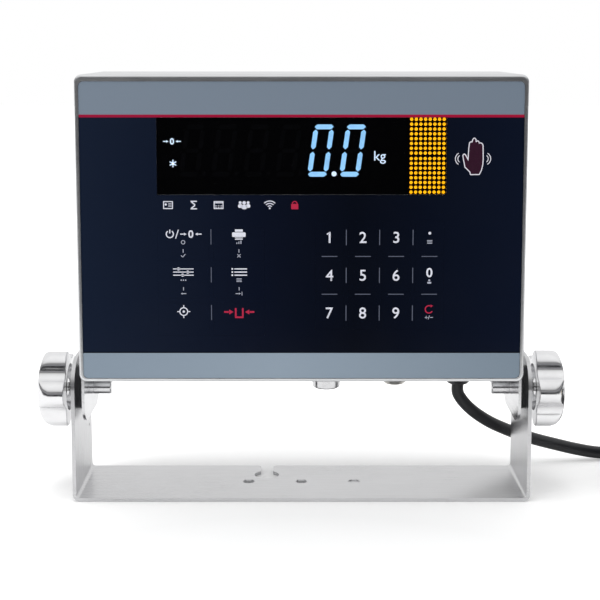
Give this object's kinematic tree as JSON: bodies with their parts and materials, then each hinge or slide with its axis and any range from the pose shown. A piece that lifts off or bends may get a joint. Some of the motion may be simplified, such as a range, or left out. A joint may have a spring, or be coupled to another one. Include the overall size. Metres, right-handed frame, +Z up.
{
  "type": "weighing indicator",
  "caption": "Weighing indicator: a sealed sheet steel housing with display and keypad, tilting in a U-shaped bracket locked by star knobs, with a mains lead.",
  "frame": {"origin": "centre of the bounding box of the bracket, knobs and housing, on the surface that the bracket stands on; the mains lead, its coil, plug and tie are left out of that box", "axes": "+Z up, -Y towards the user who reads the display, +X to the reader's right, along the line of the two knobs"},
  "size_m": [0.4182, 0.1045, 0.2337],
  "materials": {
    "bracket_steel": "sheet stainless steel with a fine satin grain along X on the base and upright on the arms",
    "housing_steel": "sheet stainless steel with a fine satin grain and rounded, polished edges",
    "polished_steel": "cast stainless steel, polished",
    "turned_steel": "turned stainless steel, bright",
    "spacer_plastic": "black bearing plastic, smooth",
    "seal_rubber": "dark moulded rubber",
    "overlay_film": "printed film, satin: navy field between two slate bands, with a crimson line",
    "key_film": "the same printed film, navy with white legends",
    "window_plastic": "black smoked acrylic with lit light blue digits",
    "display_plastic": "dark display housing",
    "matrix_plastic": "dark module with amber light points",
    "board_resin": "green circuit board with tinned tracks",
    "dome_steel": "thin spring steel, bright",
    "standoff_brass": "nickelled brass, satin",
    "transformer_iron": "laminated iron core round a taped winding",
    "ribbon_plastic": "flat grey cable",
    "gland_plastic": "black nylon",
    "nickel_plate": "nickel-plated brass, satin",
    "cord_rubber": "black rubber-sheathed lead",
    "plug_plastic": "black moulded plug",
    "pin_brass": "bright brass",
    "tie_plastic": "black hook-and-loop band"
  },
  "bodies": {
    "bracket": {"mounting_bracket": "bracket_steel", "spacer_left": "spacer_plastic", "spacer_right": "spacer_plastic", "power_cord": "cord_rubber", "cord_coil": "cord_rubber", "plug_body": "plug_plastic", "plug_pins": "pin_brass", "cord_tie": "tie_plastic"},
    "washers_left": {"washers_left": "turned_steel"},
    "washers_right": {"washers_right": "turned_steel"},
    "knob_left": {"knob_left": "polished_steel", "knob_stud_left": "turned_steel"},
    "knob_right": {"knob_right": "polished_steel", "knob_stud_right": "turned_steel"},
    "housing": {"pivot_lug_left": "housing_steel", "pivot_lug_right": "housing_steel", "pivot_bush_left": "turned_steel", "pivot_bush_right": "turned_steel", "front_bezel": "housing_steel", "housing_gasket": "seal_rubber", "rear_housing": "housing_steel", "cover_posts": "turned_steel", "cover_screws": "turned_steel", "screw_seals": "seal_rubber", "overlay_panel": "overlay_film", "display_window": "window_plastic", "digit_display": "display_plastic", "led_matrix": "matrix_plastic", "display_board": "board_resin", "keypad_board": "board_resin", "key_domes": "dome_steel", "sensor_board": "board_resin", "main_board": "board_resin", "board_standoffs": "standoff_brass", "power_supply_board": "board_resin", "transformer": "transformer_iron", "ribbon_cable": "ribbon_plastic", "vent_plug": "polished_steel", "power_gland": "gland_plastic", "load_cell_gland": "nickel_plate", "option_plug": "nickel_plate", "gland_nuts": "nickel_plate"},
    "key_power": {"key_power": "key_film"},
    "key_print": {"key_print": "key_film"},
    "key_function": {"key_function": "key_film"},
    "key_menu": {"key_menu": "key_film"},
    "key_target": {"key_target": "key_film"},
    "key_tare": {"key_tare": "key_film"},
    "key_1": {"key_1": "key_film"},
    "key_2": {"key_2": "key_film"},
    "key_3": {"key_3": "key_film"},
    "key_point": {"key_point": "key_film"},
    "key_4": {"key_4": "key_film"},
    "key_5": {"key_5": "key_film"},
    "key_6": {"key_6": "key_film"},
    "key_0": {"key_0": "key_film"},
    "key_7": {"key_7": "key_film"},
    "key_8": {"key_8": "key_film"},
    "key_9": {"key_9": "key_film"},
    "key_clear": {"key_clear": "key_film"}
  },
  "joints": [
    {"name": "tilt", "type": "hinge", "parent": "bracket", "child": "housing", "pos_m": [0, -0.012, 0.0572], "axis": [-1, 0, 0], "range_deg": [-15, 60], "deforming": ["power_cord"]},
    {"name": "knob_left_travel", "type": "slide", "parent": "bracket", "child": "washers_left", "axis": [-1, 0, 0], "range_m": [0, 0.0017]},
    {"name": "knob_left_turn", "type": "hinge", "parent": "washers_left", "child": "knob_left", "pos_m": [-0.139, -0.012, 0.0572], "axis": [-1, 0, 0], "range_deg": [0, 720]},
    {"name": "knob_right_travel", "type": "slide", "parent": "bracket", "child": "washers_right", "axis": [1, 0, 0], "range_m": [0, 0.0017]},
    {"name": "knob_right_turn", "type": "hinge", "parent": "washers_right", "child": "knob_right", "pos_m": [0.139, -0.012, 0.0572], "axis": [1, 0, 0], "range_deg": [0, 720]},
    {"name": "press_key_power", "type": "slide", "parent": "housing", "child": "key_power", "axis": [0, 1, 0], "range_m": [0, 0.0004], "stiffness_N_per_m": 400},
    {"name": "press_key_print", "type": "slide", "parent": "housing", "child": "key_print", "axis": [0, 1, 0], "range_m": [0, 0.0004], "stiffness_N_per_m": 400},
    {"name": "press_key_function", "type": "slide", "parent": "housing", "child": "key_function", "axis": [0, 1, 0], "range_m": [0, 0.0004], "stiffness_N_per_m": 400},
    {"name": "press_key_menu", "type": "slide", "parent": "housing", "child": "key_menu", "axis": [0, 1, 0], "range_m": [0, 0.0004], "stiffness_N_per_m": 400},
    {"name": "press_key_target", "type": "slide", "parent": "housing", "child": "key_target", "axis": [0, 1, 0], "range_m": [0, 0.0004], "stiffness_N_per_m": 400},
    {"name": "press_key_tare", "type": "slide", "parent": "housing", "child": "key_tare", "axis": [0, 1, 0], "range_m": [0, 0.0004], "stiffness_N_per_m": 400},
    {"name": "press_key_1", "type": "slide", "parent": "housing", "child": "key_1", "axis": [0, 1, 0], "range_m": [0, 0.0004], "stiffness_N_per_m": 400},
    {"name": "press_key_2", "type": "slide", "parent": "housing", "child": "key_2", "axis": [0, 1, 0], "range_m": [0, 0.0004], "stiffness_N_per_m": 400},
    {"name": "press_key_3", "type": "slide", "parent": "housing", "child": "key_3", "axis": [0, 1, 0], "range_m": [0, 0.0004], "stiffness_N_per_m": 400},
    {"name": "press_key_point", "type": "slide", "parent": "housing", "child": "key_point", "axis": [0, 1, 0], "range_m": [0, 0.0004], "stiffness_N_per_m": 400},
    {"name": "press_key_4", "type": "slide", "parent": "housing", "child": "key_4", "axis": [0, 1, 0], "range_m": [0, 0.0004], "stiffness_N_per_m": 400},
    {"name": "press_key_5", "type": "slide", "parent": "housing", "child": "key_5", "axis": [0, 1, 0], "range_m": [0, 0.0004], "stiffness_N_per_m": 400},
    {"name": "press_key_6", "type": "slide", "parent": "housing", "child": "key_6", "axis": [0, 1, 0], "range_m": [0, 0.0004], "stiffness_N_per_m": 400},
    {"name": "press_key_0", "type": "slide", "parent": "housing", "child": "key_0", "axis": [0, 1, 0], "range_m": [0, 0.0004], "stiffness_N_per_m": 400},
    {"name": "press_key_7", "type": "slide", "parent": "housing", "child": "key_7", "axis": [0, 1, 0], "range_m": [0, 0.0004], "stiffness_N_per_m": 400},
    {"name": "press_key_8", "type": "slide", "parent": "housing", "child": "key_8", "axis": [0, 1, 0], "range_m": [0, 0.0004], "stiffness_N_per_m": 400},
    {"name": "press_key_9", "type": "slide", "parent": "housing", "child": "key_9", "axis": [0, 1, 0], "range_m": [0, 0.0004], "stiffness_N_per_m": 400},
    {"name": "press_key_clear", "type": "slide", "parent": "housing", "child": "key_clear", "axis": [0, 1, 0], "range_m": [0, 0.0004], "stiffness_N_per_m": 400}
  ],
  "couplings": [
    {"joint": "knob_left_travel", "follows": "knob_left_turn", "m_per_rad": 0.00012732},
    {"joint": "knob_right_travel", "follows": "knob_right_turn", "m_per_rad": 0.00012732}
  ]
}
